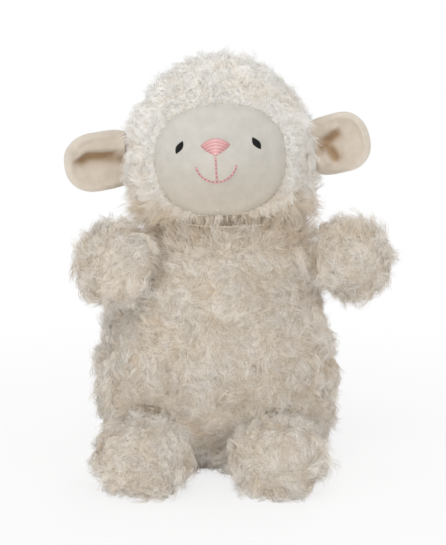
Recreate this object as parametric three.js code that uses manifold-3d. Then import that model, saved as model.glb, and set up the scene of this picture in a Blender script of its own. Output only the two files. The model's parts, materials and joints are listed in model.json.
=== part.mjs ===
// A sitting lamb bean bag toy. Millimetres, +Z up; the lamb faces -Y, and +X is the lamb's own left.
// The origin is the middle of the flat seat, on the surface that the toy sits on.
import * as THREE from "three";
import { mergeVertices } from "three/addons/utils/BufferGeometryUtils.js";
import Module from "manifold-3d";

const wasm = await Module();
wasm.setup();

// Clearances and cloth
const GAP = 0.3; // between two pieces that touch
const JOINT_GAP = 0.6; // round a ball that turns in its socket
const FUR_CLOTH = 4; // curly cloth with its pile
const VELOUR = 1.6; // smooth cloth of the face
const EAR_CLOTH = 1.3;
const POUCH_CLOTH = 0.8;

// Torso: a pear with a flat seat. Each level gives its height and how far it reaches to the sides, front and back.
const SEAT = { height: 0, side: 43, front: 22, back: 37 };
const HEM = { height: 10, side: 52.5, front: 37, back: 42.5 };
const BELLY = { height: 36, side: 59, front: 44, back: 46 };
const CHEST = { height: 74, side: 52.5, front: 42, back: 43 };
const SHOULDERS = { height: 97, side: 45, front: 38, back: 40 };
const COLLAR = { height: 112, side: 29, front: 29, back: 30 };
const SIDE_SEAM = 4; // how far behind the middle the front panel meets the back panels

// Neck: the ball on top of the torso, on which the head turns and nods
const NECK_HEIGHT = 95;
const NECK_SHIFT = 5; // to the lamb's left
const NECK_RADIUS = 43;
const NECK_THREAD = 0.8; // radius of the gathered thread
const NECK_GROOVE = 1.6; // radius of the groove that it lies in
const NECK_THREAD_ANGLE = 50; // degrees from straight up

// Head: an egg, with its heights measured from the middle of the neck's ball
const HEAD = { height: 53, side: 46.3, front: 43, back: 43, above: 51, below: 55, squareAbove: 2, squareBelow: 2 };
const HEAD_TIP_BACK = 4; // degrees
const HEAD_ROLL = 3.5;
const HEAD_TURN = 3;

// Face: an oval of smooth cloth that lies deeper than the pile around it
const FACE = { side: 1.8, height: 56.5, halfWidth: 31.5, halfHeight: 25.8 };
const FACE_DEPTH = 3; // below the top of the pile
const MUZZLE = { side: 0.5, height: 52, rise: 6, halfWidth: 15, halfHeight: 13 };

// Embroidery, with its heights measured like the head's
const SATIN = 0.9; // height of the satin stitches
const EYE = { side: 1.4, spread: 17.6, height: 63.4, halfWidth: 2.2, halfHeight: 3.2, lean: 12 };
const NOSE = { height: 63.8, halfWidth: 6.9, rise: 2.8, drop: 4 };
const STITCH = 0.5; // radius of the mouth's thread
const PHILTRUM = { top: 58.6, bottom: 48.4 };
const SMILE = { halfWidth: 8.6, ends: 54, bottom: 47 };

// Ears: cupped tongues on a narrow root. Their turns are in degrees.
const EAR = { height: 56.5, length: 26.5, root: 11, halfWidth: 15, widest: 13, cup: 6, curl: 3 };
const EAR_SEAM = 1.6; // radius of the rolled seam that the ear turns on
const LEFT_EAR = { rise: 9, forward: 14 };
const RIGHT_EAR = { rise: -3, forward: 14 };

// Arms: rooted near the side seams
const ARM = { root: 14, sink: 9, length: 49, widest: 29, halfWidth: 20.7, halfHeight: 20.7 };
const SHOULDER_FORWARD = 2;
const LEFT_ARM = { rise: 9, forward: 9, low: -20, high: 10 }; // degrees; it swings down and up
const RIGHT_ARM = { rise: 13, forward: 68, low: -20, high: 2 }; // already close under the cheek

// Legs: they lie forward on the table, and are cut flat where they touch it
const LEG = { root: 14, sink: 9, length: 54, widest: 34, halfWidth: 24.3, halfHeight: 18.8 };
const HIP_HEIGHT = 21;
const HIP_SPREAD = 30;
const LEG_DROOP = 5;
const LEFT_LEG = { out: -3 };
const RIGHT_LEG = { out: 7 };
const LEG_SWING = { low: -10, high: 20 };

// Bean pouch: a flat-bottomed cushion in the seat, behind the hips
const POUCH = { height: 18, side: 35, above: 19, below: 22, squareAbove: 2.4, squareBelow: 2.4 };
const POUCH_CLEARANCE = 5; // to the hips in front and the back panels behind
const POUCH_MOUTH = 7; // radius of the filling mouth

// How finely a form is divided
const FINE = { sides: 24, rings: 11, ball: 4 };
const COARSE = { sides: 16, rings: 7, ball: 2 };
const FACE_GRID = { sides: 40, rings: 20 };
const SWING_STEP = 5; // degrees between the places where a limb is cut clear of the torso
const ROOM = 600; // a block larger than the toy

const cloth = (color) => new THREE.MeshStandardMaterial({ color, roughness: 1, metalness: 0 });
const thread = (color) => new THREE.MeshStandardMaterial({ color, roughness: 0.55, metalness: 0 });
const looks = {
  curlyFur: () => cloth("#e3dace"),
  velour: () => cloth("#efe9de"),
  fibre: () => cloth("#f4f2ec"),
  lining: () => cloth("#d9d3c6"),
  pellets: () => thread("#e6e2d6"),
  blackThread: () => thread("#1c1b1a"),
  pinkThread: () => thread("#dc9c9a"),
  sewingThread: () => thread("#ece5d8"),
};

const radians = THREE.MathUtils.degToRad;
const lerp = THREE.MathUtils.lerp;
const smoothstep = THREE.MathUtils.smoothstep;

function solid(geometry) {
  const bare = new THREE.BufferGeometry();
  bare.setAttribute("position", geometry.getAttribute("position"));
  bare.setIndex(geometry.getIndex());
  const merged = mergeVertices(bare, 1e-4);
  const mesh = new wasm.Mesh({
    numProp: 3,
    vertProperties: merged.getAttribute("position").array,
    triVerts: new Uint32Array(merged.getIndex().array),
  });
  return new wasm.Manifold(mesh);
}

function geometryOf(shape) {
  const mesh = shape.getMesh();
  const geometry = new THREE.BufferGeometry();
  geometry.setAttribute("position", new THREE.BufferAttribute(mesh.vertProperties, 3));
  geometry.setIndex(new THREE.BufferAttribute(mesh.triVerts, 1));
  return geometry;
}

function moved(shape, matrix) {
  return solid(geometryOf(shape).applyMatrix4(matrix));
}

function ball(centre, radius, detail) {
  const geometry = new THREE.IcosahedronGeometry(radius, detail.ball);
  return solid(geometry.translate(centre.x, centre.y, centre.z));
}

// Everything on one side of a plane: beyond it where side is 1, short of it where side is -1.
function half(axis, place, side) {
  const middle = new THREE.Vector3();
  middle[axis] = place + (side * ROOM) / 2;
  const block = new THREE.BoxGeometry(ROOM, ROOM, ROOM);
  return solid(block.translate(middle.x, middle.y, middle.z));
}

function piece(group, name, shape, look) {
  const mesh = new THREE.Mesh(geometryOf(shape), looks[look]());
  mesh.name = name;
  group.add(mesh);
}

// A closed skin over a stack of oval rings, from the lowest to the highest. Each ring gives its middle, and how
// far it reaches to the sides, to the front (-Y) and to the back. The skin ends in a point or a flat at each end.
function loft(rings, sides, lowEnd = rings[0].z, highEnd = rings[rings.length - 1].z) {
  const positions = [];
  const indices = [];
  const top = rings.length * sides + 1;
  positions.push(rings[0].x, rings[0].y, lowEnd);
  for (const ring of rings) {
    for (let i = 0; i < sides; i += 1) {
      const angle = (2 * Math.PI * i) / sides;
      const deep = Math.sin(angle) > 0 ? ring.back : ring.front;
      positions.push(ring.x + ring.side * Math.cos(angle), ring.y + deep * Math.sin(angle), ring.z);
    }
  }
  const last = rings[rings.length - 1];
  positions.push(last.x, last.y, highEnd);
  for (let i = 0; i < sides; i += 1) {
    const next = (i + 1) % sides;
    indices.push(0, 1 + next, 1 + i);
    for (let r = 0; r + 1 < rings.length; r += 1) {
      const low = 1 + r * sides;
      const high = low + sides;
      indices.push(low + i, low + next, high + next, low + i, high + next, high + i);
    }
    indices.push(top, top - sides + i, top - sides + next);
  }
  const geometry = new THREE.BufferGeometry();
  geometry.setAttribute("position", new THREE.Float32BufferAttribute(positions, 3));
  geometry.setIndex(indices);
  return geometry;
}

// The same skin with each corner moved.
function reshaped(geometry, move) {
  const place = geometry.getAttribute("position");
  const corner = new THREE.Vector3();
  for (let i = 0; i < place.count; i += 1) {
    corner.fromBufferAttribute(place, i);
    move(corner, i);
    place.setXYZ(i, corner.x, corner.y, corner.z);
  }
  return geometry;
}

// The same skin moved inwards by a depth, or outwards by a negative one.
function inset(geometry, depth) {
  geometry.computeVertexNormals();
  const normals = geometry.getAttribute("normal");
  const normal = new THREE.Vector3();
  return reshaped(geometry, (corner, i) => corner.addScaledVector(normal.fromBufferAttribute(normals, i), -depth));
}

// Steps from low to high that lie closer together at both ends.
function gathered(low, high, steps) {
  return Array.from({ length: steps + 1 }, (_, i) => lerp(low, high, (1 - Math.cos((Math.PI * i) / steps)) / 2));
}

// An egg is widest at its height, and closes above and below along superellipses.
function eggRing(egg, depth, height) {
  const up = height > egg.height;
  const reach = (up ? egg.above : egg.below) - depth;
  const power = up ? egg.squareAbove : egg.squareBelow;
  const rise = Math.min(1, Math.abs(height - egg.height) / reach);
  const share = Math.pow(1 - Math.pow(rise, power), 1 / power);
  return {
    x: 0,
    y: egg.middle ?? 0,
    z: height,
    side: (egg.side - depth) * share,
    front: (egg.front - depth) * share,
    back: (egg.back - depth) * share,
  };
}

function eggForm(egg, depth, detail) {
  const low = egg.height - egg.below + depth;
  const high = egg.height + egg.above - depth;
  const heights = gathered(low, high, detail.rings).slice(1, -1);
  return loft(heights.map((height) => eggRing(egg, depth, height)), detail.sides, low, high);
}

// The groups that move, each standing at the point it turns about
function place(parent, point, turns = {}) {
  const group = new THREE.Group();
  group.position.copy(point);
  group.rotation.set(radians(turns.x ?? 0), radians(turns.y ?? 0), radians(turns.z ?? 0), "ZYX");
  parent.add(group);
  group.updateWorldMatrix(true, false);
  return group;
}

const levels = [SEAT, HEM, BELLY, CHEST, SHOULDERS, COLLAR];
const torsoCurve = new THREE.CubicInterpolant(
  levels.map((level) => level.height),
  levels.flatMap((level) => [level.side, level.front, level.back]),
  3,
);

function torsoRing(height) {
  const [side, front, back] = torsoCurve.evaluate(height);
  return { x: 0, y: 0, z: height, side, front, back };
}

const toy = new THREE.Group();
const neckMiddle = new THREE.Vector3(NECK_SHIFT, 0, NECK_HEIGHT);
const neck = place(toy, neckMiddle);
const head = place(neck, new THREE.Vector3(), { x: -HEAD_TIP_BACK, y: -HEAD_ROLL, z: -HEAD_TURN });

// A limb's group has its +Z along the limb.
function armGroup(arm, side) {
  const out = torsoRing(SHOULDERS.height).side - ARM.sink;
  const shoulder = new THREE.Vector3(side * out, -SHOULDER_FORWARD, SHOULDERS.height);
  return place(toy, shoulder, { y: side * (90 - arm.rise), z: -side * arm.forward });
}

function legGroup(leg, side) {
  const ring = torsoRing(HIP_HEIGHT);
  const front = ring.front * Math.sqrt(1 - (HIP_SPREAD / ring.side) ** 2);
  const hip = new THREE.Vector3(side * HIP_SPREAD, LEG.sink - front, HIP_HEIGHT);
  return place(toy, hip, { x: 90 + LEG_DROOP, z: side * leg.out });
}

const limbs = {
  arm_left: { ...ARM, ...LEFT_ARM, hinge: [0, -1, 0], group: armGroup(LEFT_ARM, 1) },
  arm_right: { ...ARM, ...RIGHT_ARM, hinge: [0, 1, 0], group: armGroup(RIGHT_ARM, -1) },
  leg_left: { ...LEG, ...LEG_SWING, hinge: [-1, 0, 0], group: legGroup(LEFT_LEG, 1) },
  leg_right: { ...LEG, ...LEG_SWING, hinge: [-1, 0, 0], group: legGroup(RIGHT_LEG, -1) },
};

function torsoForm(depth, detail) {
  const heights = gathered(SEAT.height, COLLAR.height, detail.rings);
  const body = solid(inset(loft(heights.map(torsoRing), detail.sides), depth));
  return body.add(ball(neckMiddle, NECK_RADIUS - depth, detail));
}

// The torso without the sockets that the limbs' roots sit in
function socketed(shape) {
  let left = shape;
  for (const limb of Object.values(limbs)) {
    left = left.subtract(ball(limb.group.position, limb.root + JOINT_GAP, COARSE));
  }
  return left;
}

function makeTorso() {
  const aboveBase = half("z", SEAT.height + FUR_CLOTH + GAP, 1);
  const outer = torsoForm(0, FINE);
  const wall = outer.subtract(torsoForm(FUR_CLOTH, COARSE)).intersect(aboveBase);
  const panels = socketed(wall).subtract(neckRing(NECK_GROOVE));
  const back = panels.intersect(half("y", SIDE_SEAM + GAP / 2, 1));
  piece(toy, "torso_front_panel", panels.intersect(half("y", SIDE_SEAM - GAP / 2, -1)), "curlyFur");
  piece(toy, "torso_back_left_panel", back.intersect(half("x", GAP / 2, 1)), "curlyFur");
  piece(toy, "torso_back_right_panel", back.intersect(half("x", -GAP / 2, -1)), "curlyFur");
  piece(toy, "base_panel", outer.intersect(half("z", SEAT.height + FUR_CLOTH, -1)), "curlyFur");

  const pouch = pouchEgg();
  const filling = torsoForm(FUR_CLOTH + GAP, COARSE).intersect(aboveBase);
  const hollow = solid(eggForm(pouch, -GAP, COARSE));
  piece(toy, "torso_stuffing", socketed(filling).subtract(hollow), "fibre");
  makePouch(pouch);
}

// The pouch fills the seat from the hips' roots to the back panels.
function pouchEgg() {
  const front = limbs.leg_left.group.position.y + LEG.root + POUCH_CLEARANCE;
  const back = torsoRing(POUCH.height).back - FUR_CLOTH - POUCH_CLEARANCE;
  const reach = (back - front) / 2;
  return { ...POUCH, middle: (front + back) / 2, front: reach, back: reach };
}

function makePouch(pouch) {
  const floor = SEAT.height + FUR_CLOTH + GAP;
  const within = (depth) => solid(eggForm(pouch, depth, COARSE)).intersect(half("z", floor + depth, 1));
  const mouth = new THREE.CylinderGeometry(POUCH_MOUTH, POUCH_MOUTH, pouch.above, 16);
  mouth.rotateX(Math.PI / 2);
  mouth.translate(0, pouch.middle, pouch.height + pouch.above);
  piece(toy, "bean_pouch", within(0).subtract(within(POUCH_CLOTH)).subtract(solid(mouth)), "lining");
  piece(toy, "bean_pellets", within(POUCH_CLOTH + GAP), "pellets");
}

// The gathered thread lies in a groove round the neck's ball.
function neckRing(radius) {
  const reach = NECK_RADIUS - NECK_THREAD;
  const angle = radians(NECK_THREAD_ANGLE);
  const ring = new THREE.TorusGeometry(reach * Math.sin(angle), radius, 5, 28);
  return solid(ring.translate(neckMiddle.x, neckMiddle.y, neckMiddle.z + reach * Math.cos(angle)));
}

function makeNeck() {
  const fromNeck = neck.matrixWorld.clone().invert();
  piece(neck, "neck_thread", moved(neckRing(NECK_THREAD), fromNeck), "sewingThread");
}

// A limb swells from its root to its widest place, and ends round.
function limbRing(limb, along) {
  const past = Math.max(0, (along - limb.widest) / (limb.length - limb.widest));
  const share = Math.sqrt(1 - past ** 2);
  const swell = smoothstep(along, 0, limb.widest);
  const start = limb.root - GAP;
  const deep = lerp(start, limb.halfHeight, swell) * share;
  return { x: 0, y: 0, z: along, side: lerp(start, limb.halfWidth, swell) * share, front: deep, back: deep };
}

function limbForm(limb, depth, detail) {
  const rootSteps = Math.round(detail.rings / 4);
  const tipSteps = Math.round(detail.rings / 2);
  const root = Array.from({ length: rootSteps }, (_, i) => (limb.widest * i) / rootSteps);
  const tip = Array.from({ length: tipSteps }, (_, i) => {
    return lerp(limb.widest, limb.length, Math.sin((Math.PI / 2) * (i / tipSteps)));
  });
  const rings = [...root, ...tip].map((along) => limbRing(limb, along));
  return solid(inset(loft(rings, Math.round(detail.sides * 0.75), 0, limb.length), depth));
}

// The space that the torso takes up, seen from the limb, over the whole of the limb's swing.
function torsoAround(limb, clearance) {
  const torso = torsoForm(-clearance, FINE);
  const toLimb = limb.group.matrixWorld.clone().invert();
  const steps = Math.ceil((limb.high - limb.low) / SWING_STEP);
  let space = moved(torso, toLimb);
  for (let i = 0; i <= steps; i += 1) {
    const angle = radians(lerp(limb.low, limb.high, i / steps));
    const turn = new THREE.Matrix4().makeRotationAxis(new THREE.Vector3(...limb.hinge), -angle);
    space = space.add(moved(torso, turn.multiply(toLimb)));
  }
  return space;
}

function limbSolid(limb, depth, detail, taken) {
  const aboveTable = moved(half("z", SEAT.height + depth, 1), limb.group.matrixWorld.clone().invert());
  return limbForm(limb, depth, detail).subtract(taken).intersect(aboveTable);
}

// Two panels form a sleeve that is open at its root, where the filling's round root reaches into the torso.
function makeLimb(name, firstHalf, secondHalf) {
  const limb = limbs[name];
  const centre = new THREE.Vector3();
  const taken = torsoAround(limb, GAP);
  const inner = limbSolid(limb, FUR_CLOTH, COARSE, torsoAround(limb, 0));
  const sleeve = limbSolid(limb, 0, FINE, taken).subtract(inner).subtract(ball(centre, limb.root + GAP, COARSE));
  piece(limb.group, `${name}_${firstHalf}_panel`, sleeve.intersect(half("y", -GAP / 2, -1)), "curlyFur");
  piece(limb.group, `${name}_${secondHalf}_panel`, sleeve.intersect(half("y", GAP / 2, 1)), "curlyFur");
  const filling = limbSolid(limb, FUR_CLOTH + GAP, COARSE, taken).add(ball(centre, limb.root, COARSE));
  piece(limb.group, `${name}_stuffing`, filling, "fibre");
}

function muzzleRise(x, height) {
  const across = (x - MUZZLE.side) / MUZZLE.halfWidth;
  const up = (height - MUZZLE.height) / MUZZLE.halfHeight;
  return MUZZLE.rise * Math.exp(-(across ** 2) - up ** 2);
}

// How far back the face's cloth lies at a place seen from the front.
function faceAt(x, height) {
  const ring = eggRing(HEAD, FACE_DEPTH, height);
  return -ring.front * Math.sqrt(1 - (x / ring.side) ** 2) - muzzleRise(x, height);
}

function faceForm(depth, detail) {
  const skin = eggForm(HEAD, FACE_DEPTH + depth, detail);
  return solid(
    reshaped(skin, (corner) => {
      corner.y -= corner.y < 0 ? muzzleRise(corner.x, corner.z) : 0;
    }),
  );
}

function faceOval(margin) {
  const oval = new THREE.CylinderGeometry(1, 1, ROOM, 40);
  oval.scale(FACE.halfWidth + margin, 1, FACE.halfHeight + margin);
  return solid(oval.translate(FACE.side, -ROOM / 2, FACE.height));
}

function makeHead() {
  const neckBall = ball(new THREE.Vector3(), NECK_RADIUS + JOINT_GAP, FINE);
  const hood = solid(eggForm(HEAD, 0, FINE)).subtract(solid(eggForm(HEAD, FUR_CLOTH, COARSE)));
  const open = hood.subtract(neckBall).subtract(faceOval(GAP));
  piece(head, "hood_left_panel", open.intersect(half("x", GAP / 2, 1)), "curlyFur");
  piece(head, "hood_right_panel", open.intersect(half("x", -GAP / 2, -1)), "curlyFur");
  const mask = faceForm(0, FACE_GRID).subtract(faceForm(VELOUR, FINE));
  piece(head, "face_panel", mask.intersect(faceOval(0)), "velour");
  const muzzle = faceForm(VELOUR + GAP, FINE).intersect(faceOval(-GAP));
  const filling = solid(eggForm(HEAD, FUR_CLOTH + FACE_DEPTH, COARSE)).add(muzzle);
  piece(head, "head_stuffing", filling.subtract(neckBall), "fibre");
}

// A low pad of satin stitches on the face, inside an outline that gives a place for each angle.
function satinPad(outline, sides) {
  const shares = [1, 0.6];
  const rings = [
    ...shares.map((share) => ({ share, lift: GAP })).reverse(),
    ...shares.map((share) => ({ share, lift: GAP + SATIN * (share < 1 ? 1 : 0.6) })),
  ];
  const flat = loft(rings.map((ring, i) => ({ x: 0, y: 0, z: i, side: 1, front: 1, back: 1 })), sides);
  const middle = outline(0).clone().add(outline(Math.PI)).multiplyScalar(0.5);
  return solid(
    reshaped(flat, (corner, i) => {
      const end = i === 0 ? rings[0] : rings[rings.length - 1];
      const isEnd = i === 0 || i === sides * rings.length + 1;
      const ring = isEnd ? end : rings[Math.floor((i - 1) / sides)];
      const angle = (2 * Math.PI * ((i - 1) % sides)) / sides;
      const spot = middle.clone().lerp(outline(angle), isEnd ? 0 : ring.share);
      corner.set(spot.x, faceAt(spot.x, spot.y) - ring.lift, spot.y);
    }),
  );
}

// A thread laid on the face along a line of places seen from the front.
function laidThread(spots, steps) {
  const lift = GAP + STITCH;
  const points = spots.map(([x, height]) => new THREE.Vector3(x, faceAt(x, height) - lift, height));
  const section = new THREE.Shape().absarc(0, 0, STITCH, 0, 2 * Math.PI);
  const path = new THREE.CatmullRomCurve3(points);
  return solid(new THREE.ExtrudeGeometry(section, { steps, curveSegments: 4, extrudePath: path }));
}

function makeEmbroidery() {
  for (const [name, side] of [["eye_left", 1], ["eye_right", -1]]) {
    const lean = radians(side * EYE.lean);
    const eye = new THREE.Vector2(EYE.side + side * EYE.spread, EYE.height);
    const outline = (angle) => {
      const spot = new THREE.Vector2(EYE.halfWidth * Math.cos(angle), EYE.halfHeight * Math.sin(angle));
      return spot.rotateAround(new THREE.Vector2(), lean).add(eye);
    };
    piece(head, `${name}_stitching`, satinPad(outline, 14), "blackThread");
  }
  const nose = (angle) => {
    const tall = Math.sin(angle) > 0 ? NOSE.rise : NOSE.drop;
    return new THREE.Vector2(MUZZLE.side + NOSE.halfWidth * Math.cos(angle), NOSE.height + tall * Math.sin(angle));
  };
  piece(head, "nose_stitching", satinPad(nose, 20), "pinkThread");
  const philtrum = [0, 0.5, 1].map((share) => [MUZZLE.side, lerp(PHILTRUM.top, PHILTRUM.bottom, share)]);
  piece(head, "philtrum_stitching", laidThread(philtrum, 6), "pinkThread");
  const smile = Array.from({ length: 9 }, (_, i) => {
    const across = (i - 4) / 4;
    return [MUZZLE.side + SMILE.halfWidth * across, lerp(SMILE.bottom, SMILE.ends, across ** 2)];
  });
  piece(head, "smile_stitching", laidThread(smile, 16), "pinkThread");
}

// An ear's half width along its length: it widens from the root, and ends round.
function earHalfWidth(along) {
  const past = Math.max(0, (along - EAR.widest) / (EAR.length - EAR.widest));
  return lerp(EAR.root, EAR.halfWidth, smoothstep(along, 0, EAR.widest)) * Math.sqrt(1 - past ** 2);
}

// One of the ear's two layers, flat on the middle plane: facing is -1 for the front one and 1 for the back one.
function earLayer(facing, start) {
  const steps = 8;
  const shared = Array.from({ length: steps - 1 }, (_, i) => EAR.length * Math.sin((Math.PI / 2) * ((i + 1) / steps)));
  const thick = { front: facing < 0 ? EAR_CLOTH : 0, back: facing > 0 ? EAR_CLOTH : 0 };
  const rings = [start, ...shared].map((along) => {
    return { x: 0, y: facing * GAP, z: along, side: earHalfWidth(along), ...thick };
  });
  return loft(rings, 16, start, EAR.length);
}

// Both edges of an ear come forward, and its tip curls forward.
function bentEar(geometry) {
  return solid(
    reshaped(geometry, (corner) => {
      const cup = EAR.cup * (corner.x / EAR.halfWidth) ** 2 * smoothstep(corner.z, EAR_SEAM, EAR.widest);
      corner.y -= cup + EAR.curl * (Math.max(0, corner.z) / EAR.length) ** 2;
    }),
  );
}

function makeEar(name, ear, side) {
  const root = new THREE.Vector3(side * (HEAD.side + GAP + EAR_SEAM), 0, EAR.height);
  const group = place(head, root, { y: side * (90 - ear.rise), z: -side * ear.forward });
  const seam = new THREE.CylinderGeometry(EAR_SEAM, EAR_SEAM, 2 * EAR.root, 10);
  const back = bentEar(earLayer(1, 0)).add(solid(seam.rotateZ(Math.PI / 2)));
  piece(group, `${name}_front_panel`, bentEar(earLayer(-1, EAR_SEAM + GAP)), "velour");
  piece(group, `${name}_back_panel`, back, "velour");
}

makeTorso();
makeNeck();
makeLimb("arm_left", "front", "back");
makeLimb("arm_right", "front", "back");
makeLimb("leg_left", "lower", "upper");
makeLimb("leg_right", "lower", "upper");
makeHead();
makeEmbroidery();
makeEar("ear_left", LEFT_EAR, 1);
makeEar("ear_right", RIGHT_EAR, -1);

export default toy;
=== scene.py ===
"""A sitting lamb bean bag toy: curly pile, velour face and ears, embroidery, fill and pellets."""
import itertools
import json
import math

import bmesh
import bpy
import numpy as np
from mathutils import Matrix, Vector, kdtree
from mathutils.bvhtree import BVHTree


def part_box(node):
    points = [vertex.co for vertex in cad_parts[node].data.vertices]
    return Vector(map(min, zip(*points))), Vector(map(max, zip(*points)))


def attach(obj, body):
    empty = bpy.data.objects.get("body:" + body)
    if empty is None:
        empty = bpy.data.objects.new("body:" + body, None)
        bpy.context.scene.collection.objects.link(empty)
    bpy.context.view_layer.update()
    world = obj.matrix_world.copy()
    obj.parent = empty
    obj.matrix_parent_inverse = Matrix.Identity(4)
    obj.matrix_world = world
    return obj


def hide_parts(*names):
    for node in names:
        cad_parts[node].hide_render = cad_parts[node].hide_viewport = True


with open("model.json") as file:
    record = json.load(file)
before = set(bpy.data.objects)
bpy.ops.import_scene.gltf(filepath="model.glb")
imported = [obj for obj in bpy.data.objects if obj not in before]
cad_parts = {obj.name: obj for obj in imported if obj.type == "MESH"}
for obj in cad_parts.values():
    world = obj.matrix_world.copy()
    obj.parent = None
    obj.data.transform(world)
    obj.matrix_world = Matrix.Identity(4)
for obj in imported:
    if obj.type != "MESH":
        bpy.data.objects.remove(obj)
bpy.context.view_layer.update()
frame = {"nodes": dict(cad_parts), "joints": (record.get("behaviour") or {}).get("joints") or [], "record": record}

bodies = frame["record"]["behaviour"]["bodies"]
LIMBS = ("arm_left", "arm_right", "leg_left", "leg_right")
MM = 0.001
UP = np.array([0.0, 0.0, 1.0])

# Cloth and pile, in millimetres
PILE_DEPTH = 2.6  # how deep the backing cloth lies under the CAD surface, which is the top of the pile
FLAT_DEPTH = 1.2  # the same under the seat and the legs, where the pile is pressed flat
CLOTH = 0.9  # thickness of the backing cloth
VELOUR = 1.3  # thickness of the face's cloth
FILL_CLEARANCE = 0.5
FILL_LUMPS = 0.35
SLIT = 0.5  # wider than the gaps that the CAD leaves between panels
TUCK = 0.45  # how far one sheet's edge lies under the next
FLOOR_GAP = 0.12
PRESSED = (0.75, 0.95)  # how squarely a surface faces down where the pile begins to be, and is, pressed flat

ASKEW = [0.31, 0.95, 0.17]  # a direction that no axis of the toy lies along
FAR_OUT = 300.0  # from here a ray comes in to find the outside of a body

# The head's own frame: how it leans on the neck, in degrees
HEAD_TIP_BACK = 4
HEAD_ROLL = 3.5
HEAD_TURN = 3
FACE = {"side": 1.8, "height": 56.2, "half_width": 32.0, "half_height": 26.6}
FACE_SQUARE = 2.4  # 2 is an ellipse, and more has fuller corners
FACE_ROLL = 1.8  # how deep the face's edge rolls in under the pile


# Small vector helpers on arrays of points

def unit(v):
    return v / np.maximum(np.linalg.norm(v, axis=-1, keepdims=True), 1e-12)


def dot(a, b):
    return np.sum(a * b, axis=-1, keepdims=True)


def across(v, n):
    """The part of v that lies in the surface with normal n, as a unit vector."""
    return unit(v - dot(v, n) * n)


def smooth(x, low, high):
    t = np.clip((x - low) / (high - low), 0, 1)
    return t * t * (3 - 2 * t)


WAVE_COUNT = 24


class Waves:
    """A smooth random field of vectors: a sum of plane waves about one size, in millimetres."""

    def __init__(self, size, seed):
        random = np.random.default_rng(seed)
        self.k = unit(random.normal(size=(WAVE_COUNT, 3))) * 2 * math.pi / size
        self.k = self.k * random.uniform(0.6, 1.5, (WAVE_COUNT, 1))
        self.phase = random.uniform(0, 2 * math.pi, WAVE_COUNT)
        self.amount = unit(random.normal(size=(WAVE_COUNT, 3))) * math.sqrt(2 / WAVE_COUNT) * 1.7

    def at(self, points):
        return np.sin(points @ self.k.T + self.phase) @ self.amount


# Meshes

def new_object(name, data):
    made = bpy.data.objects.new(name, data)
    bpy.context.scene.collection.objects.link(made)
    return made


def mesh_object(name, vertices, groups):
    """An object from vertices in millimetres and groups of faces, each an array of corner numbers."""
    mesh = bpy.data.meshes.new(name)
    corners = np.concatenate([group.reshape(-1) for group in groups])
    sizes = np.concatenate([np.full(len(group), group.shape[1]) for group in groups])
    mesh.vertices.add(len(vertices))
    mesh.vertices.foreach_set("co", (np.asarray(vertices) * MM).astype(np.float32).reshape(-1))
    mesh.loops.add(len(corners))
    mesh.loops.foreach_set("vertex_index", corners.astype(np.int32))
    mesh.polygons.add(len(sizes))
    starts = np.concatenate([[0], np.cumsum(sizes)[:-1]])
    mesh.polygons.foreach_set("loop_start", starts.astype(np.int32))
    mesh.polygons.foreach_set("use_smooth", np.ones(len(sizes), bool))
    mesh.update(calc_edges=True)
    mesh.validate()
    return new_object(name, mesh)


def many_alike(name, vertices, groups):
    """An object of many like parts. vertices is parts x points x 3, and groups has the faces of one part."""
    start = np.arange(len(vertices))[:, None, None] * vertices.shape[1]
    groups = [(faces + start).reshape(-1, faces.shape[1]) for faces in groups]
    return mesh_object(name, vertices.reshape(-1, 3), groups)


def ring_walls(rings, around, first=0):
    """Four-sided faces between closed rings of points that follow one another."""
    k = np.arange(around)
    n = (k + 1) % around
    one_ring = first + np.stack([k, n, around + n, around + k], 1)
    return np.concatenate([one_ring + ring * around for ring in range(rings - 1)])


def spokes(ahead, aside, sides):
    """Unit steps from each point of a path to its ring."""
    third = np.cross(ahead, aside)
    angles = 2 * math.pi * np.arange(sides) / sides
    return aside[:, :, None] * np.cos(angles)[:, None] + third[:, :, None] * np.sin(angles)[:, None]


def points_of(piece):
    values = np.empty(len(piece.data.vertices) * 3)
    piece.data.vertices.foreach_get("co", values)
    return values.reshape(-1, 3) / MM


def move_points(piece, points):
    piece.data.vertices.foreach_set("co", (points * MM).astype(np.float32).reshape(-1))
    piece.data.update()


def normals_of(piece):
    values = np.empty(len(piece.data.vertices) * 3, np.float32)
    piece.data.vertex_normals.foreach_get("vector", values)
    return values.reshape(-1, 3).astype(float)


def baked_modifiers(piece):
    """The piece with its modifiers applied."""
    graph = bpy.context.evaluated_depsgraph_get()
    made = bpy.data.meshes.new_from_object(piece.evaluated_get(graph))
    piece.modifiers.clear()
    piece.data = made
    for polygon in made.polygons:
        polygon.use_smooth = True
    return piece


def shell(piece, thickness):
    """A sheet made into a closed cloth, with its thickness added on the inside."""
    solidify = piece.modifiers.new("cloth", "SOLIDIFY")
    solidify.thickness = thickness * MM
    solidify.offset = -1
    return baked_modifiers(piece)


def paint(piece, name, values):
    attribute = piece.data.attributes.get(name) or piece.data.attributes.new(name, "FLOAT", "POINT")
    attribute.data.foreach_set("value", np.asarray(values, np.float32))


def tree_of(nodes):
    """A search tree over CAD nodes, and the node that each of its faces belongs to."""
    vertices, faces, owners = [], [], []
    for name in nodes:
        mesh = frame["nodes"][name].data
        start = len(vertices)
        vertices.extend(v.co / MM for v in mesh.vertices)
        for polygon in mesh.polygons:
            faces.append([start + i for i in polygon.vertices])
            owners.append(name)
    return BVHTree.FromPolygons(vertices, faces), owners


def pivot(name):
    return np.array(next(j["pos_m"] for j in frame["joints"] if j["name"] == name)) / MM


def node_points(*nodes):
    return np.concatenate([points_of(frame["nodes"][name]) for name in nodes])


neck_point = pivot("head_turn")


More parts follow.
